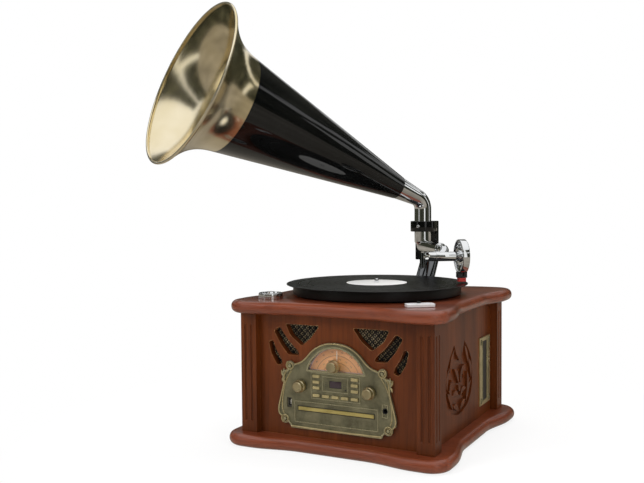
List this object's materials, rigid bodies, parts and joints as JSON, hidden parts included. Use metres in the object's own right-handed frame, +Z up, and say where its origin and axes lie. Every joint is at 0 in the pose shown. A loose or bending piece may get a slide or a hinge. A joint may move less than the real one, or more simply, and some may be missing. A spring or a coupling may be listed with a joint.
{
  "type": "record player",
  "caption": "Nostalgic wooden record player cabinet with turntable, tone arm with sound box, swivelling horn, dial, disc drawer and cassette slot.",
  "frame": {"origin": "centre of the underside of the plinth", "axes": "+X to the right along the front, +Y from the front to the back, +Z up"},
  "size_m": [0.5262, 0.5113, 0.6991],
  "materials": {
    "mahogany": "satin varnish",
    "fibreboard": "matte stain",
    "antique_brass": "antique, satin",
    "bright_brass": "polished",
    "chrome": "mirror polished",
    "black_lacquer": "gloss lacquer",
    "black_plastic": "satin",
    "vinyl": "gloss",
    "dial_paper": "matte print",
    "clear_plastic": "clear gloss",
    "circuit_green": "satin",
    "steel": "brushed",
    "rubber": "matte",
    "red_plastic": "gloss"
  },
  "bodies": {
    "cabinet": {"base_plinth": "mahogany", "top_board": "mahogany", "post_front_left": "mahogany", "post_front_right": "mahogany", "post_rear_left": "mahogany", "post_rear_right": "mahogany", "front_panel": "mahogany", "left_panel": "mahogany", "right_panel": "mahogany", "back_panel": "fibreboard", "face_plate": "antique_brass", "grille_left": "antique_brass", "grille_right": "antique_brass", "cassette_bezel": "antique_brass", "speed_switch": "chrome", "bracket_column": "chrome", "bracket_arm": "black_lacquer", "speaker_left": "black_plastic", "speaker_right": "black_plastic", "headphone_jack": "black_plastic", "mains_inlet": "black_plastic", "dial_scale": "dial_paper", "dial_lens": "clear_plastic", "control_board": "circuit_green", "power_supply": "circuit_green", "cd_mechanism": "steel", "cassette_mechanism": "steel", "usb_socket": "steel", "platter_bearing": "steel", "platter_motor": "steel", "drive_belt": "rubber"},
    "platter": {"platter": "black_plastic", "record": "vinyl"},
    "pulley": {"motor_pulley": "bright_brass"},
    "tonearm": {"tonearm_tube": "chrome"},
    "sound_head": {"gooseneck": "chrome", "soundbox": "chrome", "cartridge": "black_plastic", "stylus": "red_plastic"},
    "horn": {"horn_elbow": "chrome", "horn_cone": "black_lacquer", "horn_bell": "bright_brass"},
    "tuning": {"tuning_knob": "bright_brass"},
    "volume": {"volume_knob": "bright_brass"},
    "function": {"function_knob": "bright_brass"},
    "cd_drawer": {"cd_drawer": "antique_brass"},
    "cassette_flap": {"cassette_flap": "black_plastic"},
    "speed_slider": {"speed_slider": "black_plastic"},
    "adaptor": {"adaptor_45": "chrome"},
    "button_left_1": {"button_left_1": "antique_brass"},
    "button_left_2": {"button_left_2": "antique_brass"},
    "button_left_3": {"button_left_3": "antique_brass"},
    "button_right_1": {"button_right_1": "antique_brass"},
    "button_right_2": {"button_right_2": "antique_brass"},
    "button_right_3": {"button_right_3": "antique_brass"},
    "button_row_1": {"button_row_1": "antique_brass"},
    "button_row_2": {"button_row_2": "antique_brass"},
    "button_row_3": {"button_row_3": "antique_brass"},
    "button_row_4": {"button_row_4": "antique_brass"},
    "button_row_5": {"button_row_5": "antique_brass"}
  },
  "joints": [
    {"name": "platter_spin", "type": "hinge", "parent": "cabinet", "child": "platter", "pos_m": [0, -0.005, 0.24], "axis": [0, 0, 1], "continuous": true},
    {"name": "pulley_spin", "type": "hinge", "parent": "cabinet", "child": "pulley", "pos_m": [-0.07277, 0.05606, 0.235], "axis": [0, 0, 1], "continuous": true},
    {"name": "tonearm_swing", "type": "hinge", "parent": "cabinet", "child": "tonearm", "pos_m": [0.0173, 0.165, 0.304], "axis": [0, 0, 1], "range_deg": [-30, 12]},
    {"name": "soundbox_lift", "type": "hinge", "parent": "tonearm", "child": "sound_head", "pos_m": [0.0173, 0.165, 0.304], "axis": [0.5878, -0.809, 0], "range_deg": [0, 60]},
    {"name": "horn_swivel", "type": "hinge", "parent": "cabinet", "child": "horn", "pos_m": [0.0173, 0.165, 0.36], "axis": [0, 0, 1], "range_deg": [-60, 60]},
    {"name": "tuning_turn", "type": "hinge", "parent": "cabinet", "child": "tuning", "pos_m": [0, -0.16, 0.1365], "axis": [0, 1, 0], "range_deg": [-75, 75]},
    {"name": "volume_turn", "type": "hinge", "parent": "cabinet", "child": "volume", "pos_m": [-0.0588, -0.16, 0.1012], "axis": [0, 1, 0], "range_deg": [-150, 150]},
    {"name": "function_turn", "type": "hinge", "parent": "cabinet", "child": "function", "pos_m": [0.0588, -0.16, 0.1012], "axis": [0, 1, 0], "range_deg": [-60, 60]},
    {"name": "button_left_1_press", "type": "slide", "parent": "cabinet", "child": "button_left_1", "axis": [0, 1, 0], "range_m": [0, 0.0015], "stiffness_N_per_m": 200},
    {"name": "button_left_2_press", "type": "slide", "parent": "cabinet", "child": "button_left_2", "axis": [0, 1, 0], "range_m": [0, 0.0015], "stiffness_N_per_m": 200},
    {"name": "button_left_3_press", "type": "slide", "parent": "cabinet", "child": "button_left_3", "axis": [0, 1, 0], "range_m": [0, 0.0015], "stiffness_N_per_m": 200},
    {"name": "button_right_1_press", "type": "slide", "parent": "cabinet", "child": "button_right_1", "axis": [0, 1, 0], "range_m": [0, 0.0015], "stiffness_N_per_m": 200},
    {"name": "button_right_2_press", "type": "slide", "parent": "cabinet", "child": "button_right_2", "axis": [0, 1, 0], "range_m": [0, 0.0015], "stiffness_N_per_m": 200},
    {"name": "button_right_3_press", "type": "slide", "parent": "cabinet", "child": "button_right_3", "axis": [0, 1, 0], "range_m": [0, 0.0015], "stiffness_N_per_m": 200},
    {"name": "button_row_1_press", "type": "slide", "parent": "cabinet", "child": "button_row_1", "axis": [0, 1, 0], "range_m": [0, 0.0015], "stiffness_N_per_m": 200},
    {"name": "button_row_2_press", "type": "slide", "parent": "cabinet", "child": "button_row_2", "axis": [0, 1, 0], "range_m": [0, 0.0015], "stiffness_N_per_m": 200},
    {"name": "button_row_3_press", "type": "slide", "parent": "cabinet", "child": "button_row_3", "axis": [0, 1, 0], "range_m": [0, 0.0015], "stiffness_N_per_m": 200},
    {"name": "button_row_4_press", "type": "slide", "parent": "cabinet", "child": "button_row_4", "axis": [0, 1, 0], "range_m": [0, 0.0015], "stiffness_N_per_m": 200},
    {"name": "button_row_5_press", "type": "slide", "parent": "cabinet", "child": "button_row_5", "axis": [0, 1, 0], "range_m": [0, 0.0015], "stiffness_N_per_m": 200},
    {"name": "cd_drawer_slide", "type": "slide", "parent": "cabinet", "child": "cd_drawer", "axis": [0, -1, 0], "range_m": [0, 0.125]},
    {"name": "cassette_flap_swing", "type": "hinge", "parent": "cabinet", "child": "cassette_flap", "pos_m": [0.1516, 0.1159, 0.096], "axis": [0, 0, 1], "range_deg": [-80, 0], "stiffness_Nm_per_rad": 0.02},
    {"name": "speed_slide", "type": "slide", "parent": "cabinet", "child": "speed_slider", "axis": [0.8059, 0.592, 0], "range_m": [-0.01, 0.01]},
    {"name": "adaptor_lift", "type": "slide", "parent": "cabinet", "child": "adaptor", "axis": [0, 0, 1], "range_m": [0, 0.02]}
  ],
  "couplings": [
    {"joint": "pulley_spin", "follows": "platter_spin", "ratio": 10.333}
  ]
}
